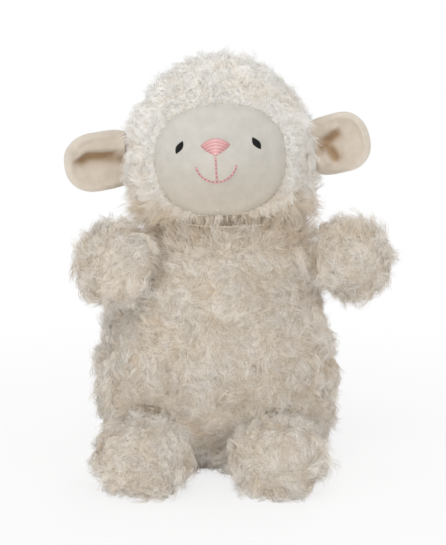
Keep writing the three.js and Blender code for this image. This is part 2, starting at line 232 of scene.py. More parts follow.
def turned(axis, angle):
    """A turn about one axis, as a matrix."""
    c, s = math.cos(angle), math.sin(angle)
    if axis == "x":
        return np.array([[1, 0, 0], [0, c, -s], [0, s, c]])
    if axis == "y":
        return np.array([[c, 0, s], [0, 1, 0], [-s, 0, c]])
    return np.array([[c, -s, 0], [s, c, 0], [0, 0, 1]])


def head_rotation():
    """The head's own axes as the columns of a matrix, at rest."""
    tip, roll, turn = (math.radians(-a) for a in (HEAD_TIP_BACK, HEAD_ROLL, HEAD_TURN))
    return turned("z", turn) @ turned("y", roll) @ turned("x", tip)


HEAD_AXES = head_rotation()


def to_head(points):
    return (points - neck_point) @ HEAD_AXES


def from_head(points):
    return points @ HEAD_AXES.T + neck_point


# Skins: a smooth closed form wrapped round a body's CAD pieces

COVERS = {"torso": "torso_front_panel", "head": "hood_left_panel"}


def panel_over(node):
    """The panel that closes a body where the CAD leaves its stuffing bare; other nodes stay as they are."""
    if not node.endswith("_stuffing"):
        return node
    body = node.removesuffix("_stuffing")
    limb = f"{body}_back_panel" if body.startswith("arm") else f"{body}_upper_panel"
    return COVERS.get(body, limb)


def outermost(tree, owners, middle, ray):
    """How far out a ray from the middle leaves the form, and the node there, past slits between panels."""
    aside = unit(np.cross(ray, ASKEW)) * SLIT
    best, owner = 0.0, None
    for step in (0 * aside, aside, -aside, np.cross(ray, aside), -np.cross(ray, aside)):
        _, _, face, distance = tree.ray_cast(Vector(middle + ray * FAR_OUT + step), Vector(-ray))
        if face is not None and FAR_OUT - distance > best:
            best, owner = FAR_OUT - distance, owners[face]
        if owner and not owner.endswith("_stuffing"):
            break
    return best, owner


class Skin:
    """A grid of points wrapped round a body from a middle point, with the CAD node that each face covers."""

    def __init__(self, body, middle, pole, columns, rows, softness, relabel=None):
        tree, owners = tree_of(bodies[body])
        side = unit(np.cross(pole, ASKEW))
        other = np.cross(pole, side)
        turns = np.linspace(0, 2 * math.pi, columns, endpoint=False)
        tilts = np.linspace(0, math.pi, rows + 2)[1:-1]
        ring = np.outer(np.cos(turns), side) + np.outer(np.sin(turns), other)
        rays = np.sin(tilts)[:, None, None] * ring[None] + np.cos(tilts)[:, None, None] * pole
        rays = np.concatenate([[pole], rays.reshape(-1, 3), [-pole]])
        found = [outermost(tree, owners, middle, ray) for ray in rays]
        self.columns, self.rows, self.middle = columns, rows, middle
        self.labels = np.array([panel_over(owner) for _, owner in found])
        self.points = middle + rays * np.array([distance for distance, _ in found])[:, None]
        self.faces = self.grid_faces()
        self.soften(softness)
        if relabel:
            relabel(self)
        self.points = self.points - self.normals() * fur_depth(self)[:, None]
        self.soften(softness // 3)

    def grid_faces(self):
        columns, rows = self.columns, self.rows
        i = np.arange(columns)
        j = (i + 1) % columns
        quads = np.roll(ring_walls(rows, columns, first=1)[:, ::-1], 1, axis=1)
        start, last = 1 + (rows - 1) * columns, 1 + rows * columns
        top = np.stack([np.zeros_like(i), 1 + i, 1 + j], 1)
        bottom = np.stack([start + i, np.full_like(i, last), start + j], 1)
        return [quads, np.concatenate([top, bottom])]

    def rows_around(self):
        """The grid of points between the two poles, and for each its neighbours above and below."""
        grid = self.points[1:-1].reshape(self.rows, self.columns, 3)
        one_row = (1, self.columns, 3)
        above = np.concatenate([np.broadcast_to(self.points[0], one_row), grid[:-1]])
        below = np.concatenate([grid[1:], np.broadcast_to(self.points[-1], one_row)])
        return grid, above, below

    def soften(self, steps):
        for _ in range(steps):
            grid, above, below = self.rows_around()
            top, bottom = self.points[0], self.points[-1]
            mean = (above + below + np.roll(grid, 1, 1) + np.roll(grid, -1, 1)) / 4
            moved = grid + 0.5 * (mean - grid)
            ends = [(top + moved[0].mean(0)) / 2, (bottom + moved[-1].mean(0)) / 2]
            self.points = np.concatenate([[ends[0]], moved.reshape(-1, 3), [ends[1]]])

    def normals(self):
        grid, above, below = self.rows_around()
        normal = np.cross(below - above, np.roll(grid, -1, 1) - np.roll(grid, 1, 1))
        normal = unit(normal).reshape(-1, 3)
        ends = [unit(normal[: self.columns].mean(0)), unit(normal[-self.columns :].mean(0))]
        normal = np.concatenate([[ends[0]], normal, [ends[1]]])
        outward = dot(normal, self.points - self.middle)
        return normal if np.median(outward) > 0 else -normal

    def split(self, name, nodes):
        """The part of the skin that covers these CAD nodes, with its edge tucked under its neighbours."""
        wanted = np.isin(self.labels, nodes)
        kept = [group[wanted[group].any(1)] for group in self.faces]
        used = np.unique(np.concatenate([group.reshape(-1) for group in kept]))
        number = np.full(len(self.points), -1)
        number[used] = np.arange(len(used))
        tucked = self.points - self.normals() * np.where(wanted, 0, TUCK)[:, None]
        return mesh_object(name, tucked[used], [number[group] for group in kept if len(group)])

    def tree(self):
        faces = [list(f) for group in self.faces for f in group.tolist()]
        return BVHTree.FromPolygons([Vector(p) for p in self.points], faces)

    def whole(self, name, depth, seed):
        """A closed form inside the skin, deeper by that much, with soft lumps."""
        lumps = Waves(14, seed).at(self.points)[:, :1] * FILL_LUMPS
        points = self.points - self.normals() * (depth + FILL_LUMPS * 1.5 + lumps)
        return mesh_object(name, points, self.faces)


def from_face(points):
    """How far out from the face's middle places lie: 1 is on its outline. Behind the head it is large."""
    local = to_head(points)
    x = np.abs(local[:, 0] - FACE["side"]) / FACE["half_width"]
    z = np.abs(local[:, 2] - FACE["height"]) / FACE["half_height"]
    return np.where(local[:, 1] < 0, (x**FACE_SQUARE + z**FACE_SQUARE) ** (1 / FACE_SQUARE), 9.0)


def round_face(skin):
    """Gives the face's cloth its oval outline, which softening the skin has drawn in."""
    inside = from_face(skin.points) < 1
    hoods = np.where(to_head(skin.points)[:, 0] > FACE["side"], "hood_left_panel", "hood_right_panel")
    face = skin.labels == "face_panel"
    skin.labels = np.where(inside, "face_panel", np.where(face, hoods, skin.labels))


def fur_depth(skin):
    """How deep the backing lies under the CAD surface, at each point of the skin."""
    depth = np.full(len(skin.points), PILE_DEPTH)
    flat = smooth(-skin.normals()[:, 2], *PRESSED) * smooth(-skin.points[:, 2], -6, -1)
    depth += flat * (FLAT_DEPTH - PILE_DEPTH)
    face = skin.labels == "face_panel"
    depth[face] = FACE_ROLL * smooth(from_face(skin.points[face]), 0.86, 1.0)
    return depth


# The columns and rows of each skin's grid, and how many steps soften it
TORSO_GRID = (144, 120, 14)
HEAD_GRID = (256, 192, 34)
LIMB_GRID = (96, 72, 12)
LIMB_MIDDLE = 0.45  # how far the middle of a limb lies from its pivot to its tip


def limb_skin(limb):
    root, points = pivot(f"{limb}_swing"), node_points(*bodies[limb])
    tip = points[np.argmax(np.linalg.norm(points - root, axis=1))]
    middle = root + (tip - root) * LIMB_MIDDLE
    return Skin(limb, middle, unit(tip - root), *LIMB_GRID)


# Materials

def material(name, roughness, **sockets):
    made = bpy.data.materials.new(name)
    made.use_nodes = True
    shader = made.node_tree.nodes["Principled BSDF"]
    shader.inputs["Roughness"].default_value = roughness
    for key, value in sockets.items():
        shader.inputs[key.replace("_", " ")].default_value = value
    return made, made.node_tree, shader


def linear(c):
    c /= 255
    return c / 12.92 if c <= 0.04045 else ((c + 0.055) / 1.055) ** 2.4


def srgb(r, g, b):
    return (linear(r), linear(g), linear(b), 1)


def feed(tree, socket, value):
    """Gives an input a value, or links it to an output."""
    if isinstance(value, bpy.types.NodeSocket):
        tree.links.new(value, socket)
    else:
        socket.default_value = value


def add_node(tree, kind, *inputs, **named):
    """A shader node, with its inputs fed in their order and by their names."""
    node = tree.nodes.new(f"ShaderNode{kind}")
    for place, value in enumerate(inputs):
        feed(tree, node.inputs[place], value)
    for key, value in named.items():
        feed(tree, node.inputs[key.replace("_", " ")], value)
    return node


def ramp(tree, source, stops):
    node = add_node(tree, "ValToRGB", source)
    ends = node.color_ramp.elements
    ends[0].position, ends[0].color = stops[0][0], srgb(*stops[0][1])
    ends[1].position, ends[1].color = stops[-1][0], srgb(*stops[-1][1])
    for place, colour in stops[1:-1]:
        ends.new(place).color = srgb(*colour)
    return node.outputs["Color"]


def attribute(tree, name):
    node = add_node(tree, "Attribute")
    node.attribute_name = name
    return node.outputs["Fac"]


def multiplied(tree, a, b):
    node = tree.nodes.new("ShaderNodeMix")
    node.data_type, node.blend_type = "RGBA", "MULTIPLY"
    for place, value in ((0, 1.0), (6, a), (7, b)):
        feed(tree, node.inputs[place], value)
    return node.outputs[2]


def noise(tree, size, detail=3.0, rough=0.55):
    """Noise of about that size in millimetres, fixed to the piece."""
    place = add_node(tree, "TexCoord").outputs["Object"]
    node = add_node(tree, "TexNoise", Vector=place, Scale=1 / (size * MM), Detail=detail, Roughness=rough)
    return node.outputs["Fac"]


def bump(tree, shader, height, depth, strength=1.0):
    node = add_node(tree, "Bump", Height=height, Distance=depth * MM, Strength=strength)
    feed(tree, shader.inputs["Normal"], node.outputs["Normal"])


WHITE = (255, 255, 255)
DARKER_LOCK = (246, 240, 232)
# painted shade for the pile's recesses, at tone 0
PAINTED_RECESS_SHADE = (230, 217, 199)
PAINTED_STITCH_SHADE = (232, 208, 209)


def pile_material(name, root, middle, tip):
    """Strands that are tan at the root and cream at the tip, which is painted shade down in the pile. Their tone
    darkens some locks: partly their own colour at random, partly painted shade.
    """
    made, tree, shader = material(name, 0.8, Sheen_Weight=0.4, Sheen_Roughness=0.5, Specular_IOR_Level=0.25)
    # darker towards the root: painted shade deep among the strands
    colour = ramp(tree, attribute(tree, "along"), [(0.0, root), (0.45, middle), (1.0, tip)])
    tone = ramp(tree, attribute(tree, "tone"), [(0.0, PAINTED_RECESS_SHADE), (0.4, DARKER_LOCK), (1.0, WHITE)])
    feed(tree, shader.inputs["Base Color"], multiplied(tree, colour, tone))
    return made


def backing_material(name, low, high):
    made, tree, shader = material(name, 0.95, Sheen_Weight=0.2, Specular_IOR_Level=0.2)
    feed(tree, shader.inputs["Base Color"], ramp(tree, noise(tree, 3.0), [(0.3, low), (0.7, high)]))
    bump(tree, shader, noise(tree, 0.6), 0.4)
    return made


def velour_material(name, low, high, crease=None):
    """Short dense pile: soft mottling where it lies in different directions, and a fine nap."""
    made, tree, shader = material(name, 0.9, Sheen_Weight=0.35, Sheen_Roughness=0.4, Specular_IOR_Level=0.2)
    colour = ramp(tree, noise(tree, 5.0, 4.0), [(0.3, low), (0.7, high)])
    # The crease colour is painted shade, multiplied in by the crease attribute.
    if crease:
        shade = ramp(tree, attribute(tree, "crease"), [(0.0, WHITE), (1.0, crease)])
        colour = multiplied(tree, colour, shade)
    feed(tree, shader.inputs["Base Color"], colour)
    bump(tree, shader, noise(tree, 0.5, 5.0, 0.7), 0.25, 0.6)
    return made


def thread_material(name, low, high, roughness, sheen, shine=0.45):
    """Thread with painted shade at each stitch's ends, where it dips into the cloth, and a painted highlight along
    its middle. A low tone gives a stitch painted shade.
    """
    made, tree, shader = material(name, roughness, Sheen_Weight=sheen, Specular_IOR_Level=shine)
    colour = ramp(tree, attribute(tree, "along"), [(0.0, low), (0.5, high), (1.0, low)])
    tone = ramp(tree, attribute(tree, "tone"), [(0.0, PAINTED_STITCH_SHADE), (1.0, WHITE)])
    feed(tree, shader.inputs["Base Color"], multiplied(tree, colour, tone))
    bump(tree, shader, noise(tree, 0.3), 0.08, 0.5)
    return made


MATERIALS = {
    "pile": pile_material("curly pile", (226, 216, 202), (243, 237, 228), (251, 247, 241)),
    "head_pile": pile_material("head pile", (240, 235, 227), (252, 250, 246), (255, 254, 252)),
    # The backing cloth is darker than the pile over it: painted shade down among the strands.
    "backing": backing_material("pile backing", (212, 202, 187), (222, 213, 200)),
    "head_backing": backing_material("head pile backing", (230, 223, 212), (237, 231, 222)),
    "seat": backing_material("seat pile", (238, 228, 212), (246, 239, 226)),
    # The third colour of each velour is painted shade, for the crease attribute.
    "velour": velour_material("face velour", (200, 196, 188), (209, 205, 197), (247, 241, 233)),
    "ear": velour_material("ear velour", (214, 204, 190), (224, 215, 203), (200, 176, 149)),
    # For each thread: painted shade at a stitch's ends, then a painted highlight at its middle.
    "black": thread_material("black thread", (6, 6, 7), (18, 18, 18), 0.55, 0.0, 0.25),
    "pink": thread_material("pink thread", (222, 166, 168), (244, 204, 203), 0.5, 0.2),
    "mouth": thread_material("mouth thread", (178, 106, 112), (236, 176, 178), 0.55, 0.2),
    "cream": thread_material("seam thread", (204, 190, 168), (226, 214, 196), 0.7, 0.2),
    "fibre": backing_material("fibre fill", (236, 235, 230), (250, 249, 246)),
    "pouch": backing_material("pouch lining", (205, 198, 184), (222, 216, 204)),
}


def bead_material():
    made, tree, shader = material("pellets", 0.35, Subsurface_Weight=0.3, Subsurface_Scale=1.0 * MM)
    colour = ramp(tree, noise(tree, 9.0), [(0.35, (222, 217, 205)), (0.65, (240, 237, 228))])
    feed(tree, shader.inputs["Base Color"], colour)
    return made


MATERIALS["pellets"] = bead_material()


def finish(piece, body, look, slot, *nodes):
    """Gives a piece its look, the body it rides on and the CAD nodes that it stands for, which it hides. The slot
    argument is not used.
    """
    piece.data.materials.clear()
    piece.data.materials.append(MATERIALS[look])
    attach(piece, body)
    if nodes:
        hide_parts(*nodes)
    return piece


# Pile

STRAND_TIP = 0.35  # how thick a strand still is before its point, as a share of its root
CLOSEST = 0.8  # how near two roots may be, as a share of the spacing
TRIES = 4  # places tried for each root that is kept


def strand_mesh(name, paths, radii, tones):
    """Closed three-sided strands that taper to a point. paths is strands x points x 3, in millimetres."""
    count, steps = paths.shape[:2]
    rings = steps - 1
    ahead = unit(np.diff(paths, axis=1))
    lead = np.concatenate([ahead[:, :1], unit(ahead[:, :-1] + ahead[:, 1:])], 1)
    aside = unit(np.cross(lead, unit(paths[:, -1] - paths[:, 0])[:, None] + 0.37 * UP + 0.011))
    shape = np.linspace(1, STRAND_TIP, rings)[None, :, None, None] * radii[:, None, None, None]
    ring_points = paths[:, :-1, None] + spokes(lead, aside, 3) * shape
    vertices = np.concatenate([ring_points.reshape(count, rings * 3, 3), paths[:, -1:]], 1)
    per, last = rings * 3 + 1, (rings - 1) * 3
    tip = [[last + k, last + (k + 1) % 3, per - 1] for k in range(3)]
    piece = many_alike(name, vertices, [ring_walls(rings, 3), np.array([*tip, [2, 1, 0]])])
    share = np.concatenate([np.repeat(np.linspace(0, 1, steps)[:-1], 3), [1.0]])
    paint(piece, "along", np.tile(share, count))
    paint(piece, "tone", np.repeat(tones, per))
    bake_map(piece, count, rings)
    return piece


CELL_MARGIN = 0.06  # the share of a strand's cell in the UV map that is left free on each side


def in_cells(spots, corner, cell):
    spots = np.array(spots) * (1 - 2 * CELL_MARGIN) + CELL_MARGIN
    return (corner[:, None] + spots[None] * cell).reshape(-1)


def bake_map(piece, count, rings):
    """A UV map in which each strand has a cell of its own, and its three sides lie side by side in it."""
    columns = math.ceil(math.sqrt(count))
    cell = 1 / columns
    corner = np.stack([np.arange(count) % columns, np.arange(count) // columns], 1) * cell
    quads, tips = [], []
    for r in range(rings - 1):
        low, high = r / rings, (r + 1) / rings
        for side in range(3):
            quads += [(side / 3, low), ((side + 1) / 3, low), ((side + 1) / 3, high), (side / 3, high)]
    top = (rings - 1) / rings
    for side in range(3):
        tips += [(side / 3, top), ((side + 1) / 3, top), ((side + 0.5) / 3, 1.0)]
    base = [(0.0, 0.0), (1 / 3, 0.0), (1 / 6, 0.5 / rings)]
    places = np.concatenate([in_cells(quads, corner, cell), in_cells(tips + base, corner, cell)])
    layer = piece.data.uv_layers.new(name="OFBake")
    layer.data.foreach_set("uv", places.astype(np.float32))


swirl = Waves(26, 11)
ruffle = Waves(9, 12)
neck_ring = node_points("neck_thread")
NECK_RING_HEIGHT = neck_ring[:, 2].mean()
NECK_RING_RADIUS = np.linalg.norm(neck_ring[:, :2] - neck_ring[:, :2].mean(0), axis=1).mean()


def random_roots(skin, nodes, spacing, random, even=True):
    """Places on the skin over these CAD nodes, about that far apart: evenly, or as they fall."""
    wanted = np.isin(skin.labels, nodes)
    quads = skin.faces[0][wanted[skin.faces[0]].any(1)]
    corners = skin.points[quads]
    diagonals = corners[:, 2] - corners[:, 0], corners[:, 3] - corners[:, 1]
    area = np.linalg.norm(np.cross(*diagonals), axis=1) / 2
    total = area.sum()
    tries = int(total / spacing**2 * (TRIES if even else 1))
    chosen = random.choice(len(quads), tries, p=area / total)
    u, v = random.random((2, tries, 1))
    c = corners[chosen]
    spots = (c[:, 0] * (1 - u) + c[:, 1] * u) * (1 - v) + (c[:, 3] * (1 - u) + c[:, 2] * u) * v
    return thinned(spots, spacing) if even else spots


NEIGHBOURS = list(itertools.product((-1, 0, 1), repeat=3))


def thinned(spots, spacing):
    """The places that are left when no two may be much closer than the spacing."""
    kept, cells = [], {}
    for i, spot in enumerate(spots):
        x, y, z = (spot // spacing).astype(int)
        near = [j for dx, dy, dz in NEIGHBOURS for j in cells.get((x + dx, y + dy, z + dz), ())]
        if near and np.min(np.sum((spots[near] - spot) ** 2, axis=1)) < (CLOSEST * spacing) ** 2:
            continue
        cells.setdefault((x, y, z), []).append(i)
        kept.append(i)
    return spots[kept]


def on_skin(tree, spots):
    places, normals = np.empty_like(spots), np.empty_like(spots)
    for i, spot in enumerate(spots):
        hit, normal, _, _ = tree.find_nearest(Vector(spot))
        places[i], normals[i] = hit, normal
    return places, unit(normals)


def room_above(body, spots, normals, reach):
    """How far each place can see outwards before it meets another body, up to reach."""
    room = np.full(len(spots), reach)
    for i, (spot, normal) in enumerate(zip(spots, normals)):
        hit = others[body].ray_cast(Vector(spot + normal * 0.2), Vector(normal), reach)
        if hit[0] is not None:
            room[i] = hit[3]
    return room


def by_the_neck(spots, reach):
    """1 at the seam between head and torso, falling to 0 at this reach from it."""
    out = np.linalg.norm(spots[:, :2] - neck_point[:2], axis=1) - NECK_RING_RADIUS
    distance = np.hypot(out, spots[:, 2] - NECK_RING_HEIGHT)
    return (1 - smooth(distance, reach * 0.45, reach))[:, None]


def by_the_face(body, spots):
    """1 at the rim of the face, falling to 0 half a face further out."""
    if body != "head":
        return np.zeros((len(spots), 1))
    return (1 - smooth(from_face(spots), 1.03, 1.2))[:, None]


def comb(body, spots, normals):
    """Which way the pile lies: swirls, a pull down, and over the seam of the neck from both sides."""
    flow = across(swirl.at(spots) + 0.6 * ruffle.at(spots) - 0.35 * UP, normals)
    if body not in ("head", "torso"):
        return flow
    if body == "head":
        away = unit(spots - head_middle - 40 * np.array([0, -1.0, 0]))
        flow = across(1.2 * away + 0.5 * swirl.at(spots) + 0.3 * ruffle.at(spots) - 0.4 * UP, normals)
    near = by_the_neck(spots, NECK_REACH)
    over = across((-1 if body == "head" else 1) * UP, normals)
    return across(flow * (1 - 0.8 * near) + over * near, normals)


class Tufts:
    """Places that the pile gathers to, and how each tuft lies and curls."""

    def __init__(self, body, seed):
        random = np.random.default_rng(seed)
        nodes = sorted(set(skins[body].labels) - {"face_panel"})
        roots = random_roots(skins[body], nodes, TUFT_SPACING, random)
        self.spots, normals = on_skin(skin_trees[body], roots)
        number = len(self.spots)
        self.lay = across(comb(body, self.spots, normals) + 0.8 * random.normal(size=(number, 3)), normals)
        self.curl = np.radians(random.normal(0, 80, number))
        self.turn = np.sign(random.normal(size=number))
        self.shade = random.normal(0, 0.16, number)
        self.size = random.uniform(0.85, 1.2, number)
        self.finder = kdtree.KDTree(number)
        for i, spot in enumerate(self.spots):
            self.finder.insert(spot, i)
        self.finder.balance()

    def nearest(self, spots):
        found = [self.finder.find(spot) for spot in spots]
        return np.array([index for _, index, _ in found]), np.array([distance for _, _, distance in found])


# The shapes of pile. Lengths in millimetres, angles in degrees
LOCKS = {
    "length": 10.0, "spacing": 2.5, "strands": 8, "width": 0.15,
    "gather": 0.75, "lift": 30, "fall": 88, "points": 6,
}
HEAD_LOCKS = {**LOCKS, "length": 9.5, "gather": 0.6, "lift": 34, "fall": 66, "loops": 0.6}
UNDERCOAT = {
    "length": 5.5, "spacing": 1.2, "strands": 1, "width": 0.17,
    "gather": 0, "lift": 30, "fall": 60, "points": 4,
}
FACE_EDGE = {
    "length": 7.0, "spacing": 1.6, "strands": 7, "width": 0.13,
    "gather": 0.5, "lift": 30, "fall": 45, "points": 6, "over": 0.7,
}
SEAT_PILE = {
    "length": 4.5, "spacing": 2.4, "strands": 7, "width": 0.19,
    "gather": 0.5, "lift": 60, "fall": 20, "points": 4,
}
TUFT_SPACING = 7.5
TUFT_REACH = 0.68  # how far a tuft gathers its locks, as a share of the tufts' spacing
BURIED = 0.35  # how deep a strand starts in the cloth
EDGE_FROM = 0.4  # how near the face's rim the finer pile round it begins, from 0 to 1
COARSER = 1.0
NECK_REACH = 17.0
ROOM_SEEN = 9.0  # how far out a root looks for another body
LEAST_ROOM = 0.9  # nothing grows where another body is nearer than this
ROOM_FOR_PILE = 5.0  # with less room the pile is shorter
SHORTEST = 0.65
CROWN_SHORTER = 0.25
LOOSE_LOCK, LOOSE_UNDERCOAT = 0.22, 1.0  # how much each lock goes its own way

# What changes by the rim of the face, by the neck's seam and where the pile is pressed flat, as shares
RIM = {"comb": 0.6, "looser": 0.5, "shorter": 0.2, "lift": 0.5, "fall": 0.35, "paler": 0.5}
# The neck's darker share is painted shade under the chin.
NECK = {"comb": 1.5, "looser": 0.4, "longer": 0.15, "lift": 0.4, "fall": 0.72, "darker": 0.4}
FLAT = {"shorter": 0.45, "lift": 0.8, "loops": 0.7, "lean": 1.45}


class Locks:
    """How each lock of one coat lies, how long it is and how it curls. The locks gather in tufts."""

    def __init__(self, body, spots, normals, room, look, random):
        tufts, number = all_tufts[body], len(spots)
        flat = smooth(-normals[:, 2], *PRESSED) * smooth(-spots[:, 2], -8, -2)
        self.rim = rim = by_the_face(body, spots)[:, 0]
        self.neck = neck = by_the_neck(spots, NECK_REACH)[:, 0] * (body in ("head", "torso"))
        self.tuft, distance = tufts.nearest(spots)
        self.closeness = np.clip(1 - (distance / (TUFT_SPACING * TUFT_REACH)) ** 2, 0, 1) * (1 - rim)

        lay = comb(body, spots, normals) * (0.5 + NECK["comb"] * neck[:, None])
        lay = lay + tufts.lay[self.tuft] * 0.9 * (1 - rim[:, None])
        inward = across(face_front - spots, normals) * rim[:, None] * look.get("over", 0)
        loose = LOOSE_UNDERCOAT if look["strands"] == 1 else LOOSE_LOCK
        loose = loose + RIM["looser"] * rim[:, None] + NECK["looser"] * neck[:, None]
        lay = lay * (1 - RIM["comb"] * rim[:, None]) + inward + loose * random.normal(size=(number, 3))
        self.lay = across(lay, normals)

        short = np.clip(room / ROOM_FOR_PILE + neck, SHORTEST, 1.0) * (1 - FLAT["shorter"] * flat)
        short = short * (1 - RIM["shorter"] * rim) * (1 + NECK["longer"] * neck)
        lengths = look["length"] * short * random.uniform(0.85, 1.15, number)
        self.lengths = lengths * (0.78 + 0.34 * self.closeness) * tufts.size[self.tuft]
        if body == "head":
            self.lengths *= 1 - CROWN_SHORTER * smooth(to_head(spots)[:, 2], 70, 95)

        lift = random.normal(look["lift"], 8, number) * (1 - RIM["lift"] * rim) * (1 - NECK["lift"] * neck)
        self.lift = np.radians(lift) * (1 - FLAT["lift"] * flat) + flat * FLAT["lean"]
        fall = random.normal(look["fall"], 14, number) * (1 - RIM["fall"] * rim) * (1 - NECK["fall"] * neck)
        self.fall = np.radians(fall) * (1 - flat)
        self.curl = tufts.curl[self.tuft] + np.radians(random.normal(0, 35, number))
        loops = random.uniform(0.8, 1.6, number) * (1 - FLAT["loops"] * flat)
        self.loops = loops * look["length"] / 11 * look.get("loops", 1)
        self.coils = random.uniform(0.8, 1.4, number) * 2 * math.pi * tufts.turn[self.tuft]
        self.phase = random.uniform(0, 2 * math.pi, number)
        toward = tufts.spots[self.tuft] - spots
        pull = 0.5 * (1 - flat) * (1 - rim) * short
        self.toward = (toward - dot(toward, normals) * normals) * pull[:, None]


def strand_paths(body, spots, normals, locks, look, random):
    """The strands' points: each leaves the cloth at its lift, falls over along its lay, and coils."""
    lock = np.repeat(np.arange(len(spots)), look["strands"])
    count = len(lock)
    reach = look["spacing"] * 0.62 * np.sqrt(random.random(count))
    around = random.uniform(0, 2 * math.pi, count)
    side = np.cross(normals, locks.lay)
    offset = np.cos(around)[:, None] * locks.lay[lock] + np.sin(around)[:, None] * side[lock]
    offset = reach[:, None] * offset
    roots, n = on_skin(skin_trees[body], spots[lock] + offset)
    n *= np.sign(dot(n, roots - skins[body].middle))
    d = across(locks.lay[lock], n)
    s = np.cross(n, d)

    steps = look["points"]
    t = np.linspace(0, 1, steps)
    theta = locks.lift[lock][:, None] + locks.fall[lock][:, None] * t + random.normal(0, 0.12, count)[:, None]
    turn = locks.curl[lock][:, None] * t + random.normal(0, 0.18, count)[:, None] * (0.3 + t)
    heading = (np.cos(theta)[..., None] * n[:, None]
               + (np.sin(theta) * np.cos(turn))[..., None] * d[:, None]
               + (np.sin(theta) * np.sin(turn))[..., None] * s[:, None])
    size = locks.lengths[lock] * random.uniform(0.8, 1.08, count)
    paths = np.zeros((count, steps, 3))
    strides = (heading[:, :-1] + heading[:, 1:]) / 2 / (steps - 1)
    paths[:, 1:] = np.cumsum(strides, axis=1) * size[:, None, None]

    swing = locks.loops[lock][:, None] * smooth(t, 0, 0.7)
    angle = locks.coils[lock][:, None] * t + locks.phase[lock][:, None]
    angle = angle + random.normal(0, 0.25, count)[:, None]
    coil = (swing * np.cos(angle))[..., None] * s[:, None]
    coil += (swing * 0.6 * np.sin(angle))[..., None] * n[:, None]
    paths += coil
    gather = smooth(t, 0.0, 0.9) * look["gather"]
    starts = roots[:, None] - offset[:, None] * gather[None, :, None]
    paths += starts - n[:, None] * BURIED * (1 - t)[None, :, None]
    paths += locks.toward[lock][:, None] * smooth(t, 0.1, 1.0)[None, :, None]
    lowest = FLOOR_GAP + look["width"]
    paths[..., 2] = np.maximum(paths[..., 2], lowest + 0.35 * random.random(count)[:, None])
    return paths


def strand_tones(body, spots, room, locks, look, random):
    """How light each strand is, from 0 in a recess to 1 on top of a tuft: painted shade between tufts, where
    another body is near and by the neck's seam, and painted light towards the head's crown, over a tone that
    differs at random and paler pile by the face.
    """
    number = len(spots)
    # Painted shade between tufts: a lock is darker the further it lies from its tuft's middle. Each tuft's own
    # tone differs at random.
    tones = 0.4 + 0.5 * locks.closeness + all_tufts[body].shade[locks.tuft]
    tones = tones + random.normal(0, 0.1, number) + RIM["paler"] * locks.rim
    # Painted shade where another body is near, and under the chin by the neck's seam.
    tones -= 0.7 * (1 - smooth(room, 2, ROOM_SEEN)) + NECK["darker"] * locks.neck
    if body == "head":
        # Painted light on the head: lighter towards the crown, darker lower down.
        tones += 0.6 * smooth(to_head(spots)[:, 2], 30, 90) - 0.25
    tones = np.repeat(tones, look["strands"])
    return np.clip(tones + random.normal(0, 0.1, len(tones)), 0, 1)


def coat(name, body, node, look, shape, seed, half=None):
    """One coat of pile over a CAD node's part of a skin, or over one half of it, by the sign of x.

    Real fibres let light through, so the strands cast no shadow. The cloth and the fill under them do.
    """
    random = np.random.default_rng(seed)
    roots = random_roots(skins[body], [node], shape["spacing"] * COARSER, random, shape["strands"] > 1)
    if half:
        roots = roots[roots[:, 0] * half > 0]
    if shape is FACE_EDGE:
        roots = roots[by_the_face(body, roots)[:, 0] > EDGE_FROM]
    spots, normals = on_skin(skin_trees[body], roots)
    normals *= np.sign(dot(normals, spots - skins[body].middle))
    room = room_above(body, spots, normals, ROOM_SEEN)
    kept = room > LEAST_ROOM
    spots, normals, room = spots[kept], normals[kept], room[kept]
    locks = Locks(body, spots, normals, room, shape, random)
    paths = strand_paths(body, spots, normals, locks, shape, random)
    tones = strand_tones(body, spots, room, locks, shape, random)
    radii = shape["width"] * random.uniform(0.75, 1.2, len(paths))
    piece = strand_mesh(name, paths, radii * COARSER, tones)
    piece.visible_shadow = False
    finish(piece, body, look, "curly_fur", node)


def pile(name, body, node, look, seed, half=None):
    coat(f"{name}_pile", body, node, look, HEAD_LOCKS if body == "head" else LOCKS, seed, half)
    coat(f"{name}_undercoat", body, node, look, UNDERCOAT, seed + 200, half)


# The bodies' skins

TORSO_MIDDLE = np.array([0.0, 0.0, 62.0])
head_middle = from_head(np.array([0.0, 0.0, 53.0]))
face_front = from_head(np.array([FACE["side"], -40.0, FACE["height"]]))
skins = {
    "torso": Skin("torso", TORSO_MIDDLE, UP, *TORSO_GRID),
    "head": Skin("head", head_middle, HEAD_AXES[:, 2], *HEAD_GRID, round_face),
    **{limb: limb_skin(limb) for limb in LIMBS},
}
skin_trees = {body: skin.tree() for body, skin in skins.items()}
others = {}
for body in skins:
    beside = set(bodies) - {body, "neck", "ear_left", "ear_right"}
    others[body] = tree_of([node for name in bodies if name in beside for node in bodies[name]])[0]


all_tufts = {body: Tufts(body, 300 + i) for i, body in enumerate(skins)}


def cloth(name, body, node, look):
    finish(shell(skins[body].split(name, [node]), CLOTH), body, look, "curly_fur", node)


def fill(name, body, cover, node, seed):
    form = skins[body].whole(name, cover + FILL_CLEARANCE, seed)
    piece = finish(form, body, "fibre", "fibre_fill", node)


def make_torso():
    for part in ("front", "back_left", "back_right"):
        cloth(f"torso_{part}_cloth", "torso", f"torso_{part}_panel", "backing")
    cloth("seat_cloth", "torso", "base_panel", "seat")
    fill("torso_fill", "torso", CLOTH, "torso_stuffing", 21)
    pile("torso_front_left", "torso", "torso_front_panel", "pile", 31, half=1)
    pile("torso_front_right", "torso", "torso_front_panel", "pile", 35, half=-1)
    pile("torso_back_left", "torso", "torso_back_left_panel", "pile", 32)
    pile("torso_back_right", "torso", "torso_back_right_panel", "pile", 33)
    coat("seat_pile", "torso", "base_panel", "pile", SEAT_PILE, 34)


